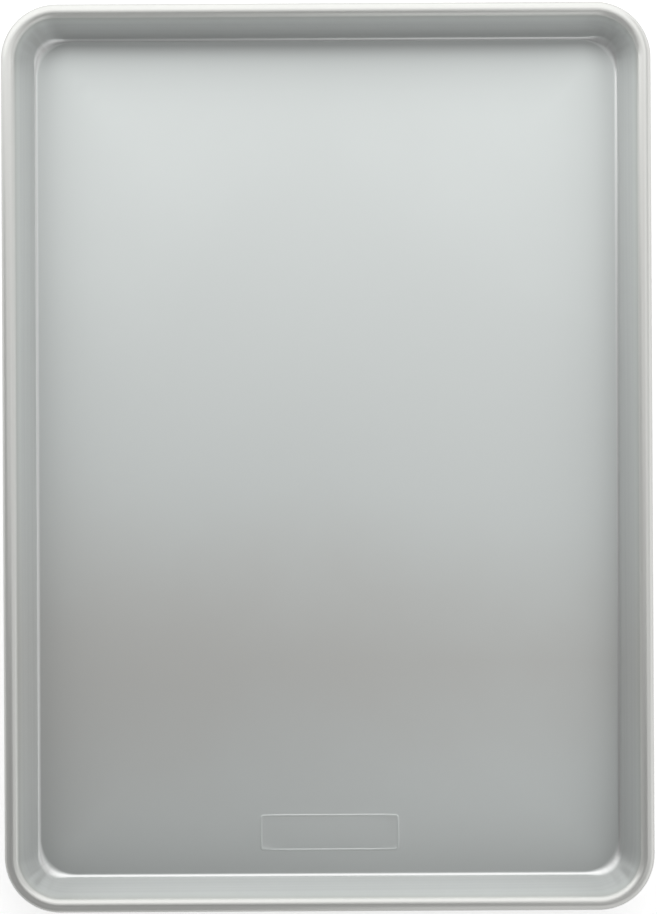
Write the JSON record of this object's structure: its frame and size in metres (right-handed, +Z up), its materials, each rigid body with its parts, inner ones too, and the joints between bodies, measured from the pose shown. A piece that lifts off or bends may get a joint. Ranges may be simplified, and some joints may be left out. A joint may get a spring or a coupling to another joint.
{
  "type": "sheet pan",
  "caption": "Shallow rectangular aluminium baking tray with sloped walls, rounded corners, a rim rolled round a steel wire and a bare stamped frame on its base.",
  "frame": {"origin": "middle of the underside of the base, on the surface that the pan stands on", "axes": "+Z up out of the open tray, +Y along the pan away from the stamped frame, +X to the right seen from the stamped frame"},
  "size_m": [0.327, 0.457, 0.026],
  "materials": {
    "aluminium": "natural satin, uncoated",
    "galvanised_wire": "galvanised, dull"
  },
  "bodies": {
    "root": {"pan_shell": "aluminium", "rim_wire": "galvanised_wire"}
  },
  "joints": []
}
